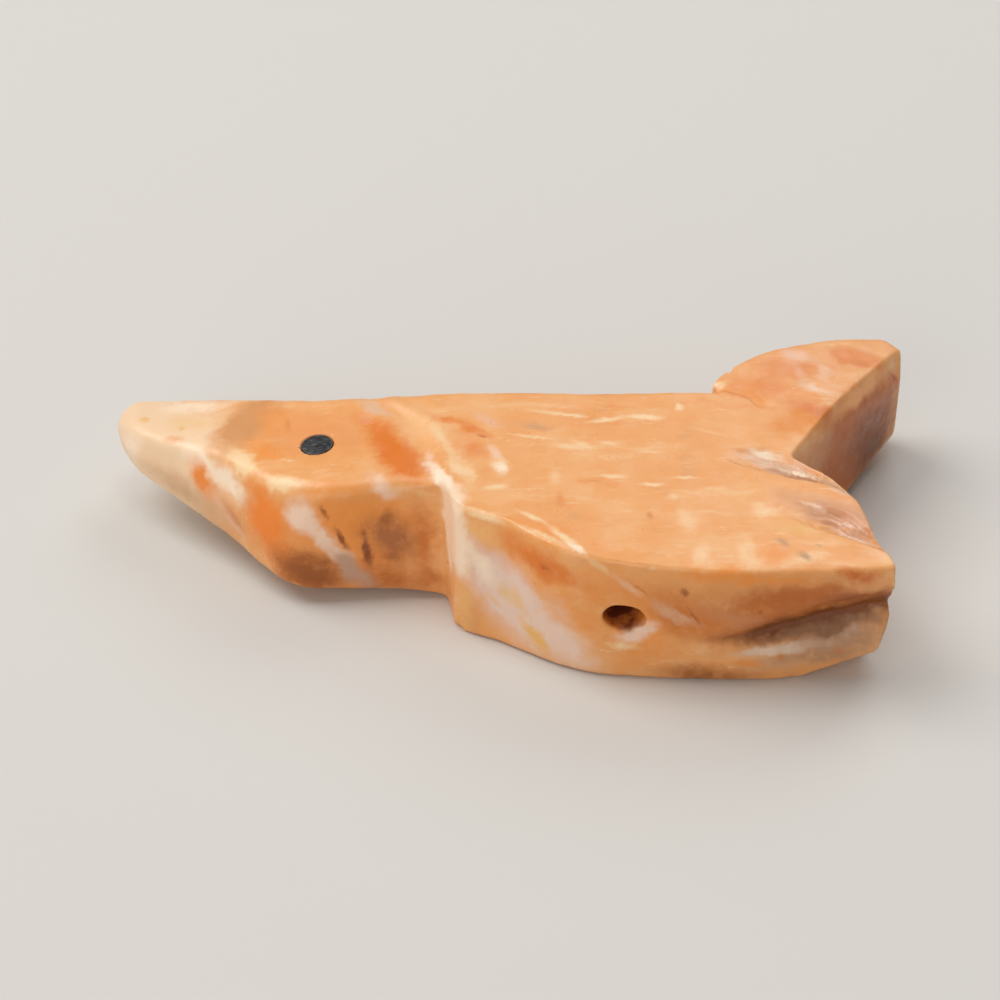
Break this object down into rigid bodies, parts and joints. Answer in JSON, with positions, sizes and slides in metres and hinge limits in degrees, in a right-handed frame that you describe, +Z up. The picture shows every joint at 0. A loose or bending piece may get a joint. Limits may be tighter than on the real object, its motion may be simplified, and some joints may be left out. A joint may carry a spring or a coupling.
{
  "type": "carved bird fetish bead",
  "caption": "Small bird carved in orange shell, with folded wings, notched tail and an inlaid jet eye on each side, bored for a cord.",
  "frame": {"origin": "on the surface that the bird lies on, under the middle of its bounding box", "axes": "+X from the beak to the tail, +Y from the back to the belly, +Z up out of the bird's right side, which faces up as it lies"},
  "size_m": [0.0244, 0.0122, 0.0043],
  "materials": {
    "shell": "satin",
    "jet": "polished"
  },
  "bodies": {
    "root": {"body": "shell", "eye_right": "jet", "eye_left": "jet"}
  },
  "joints": []
}
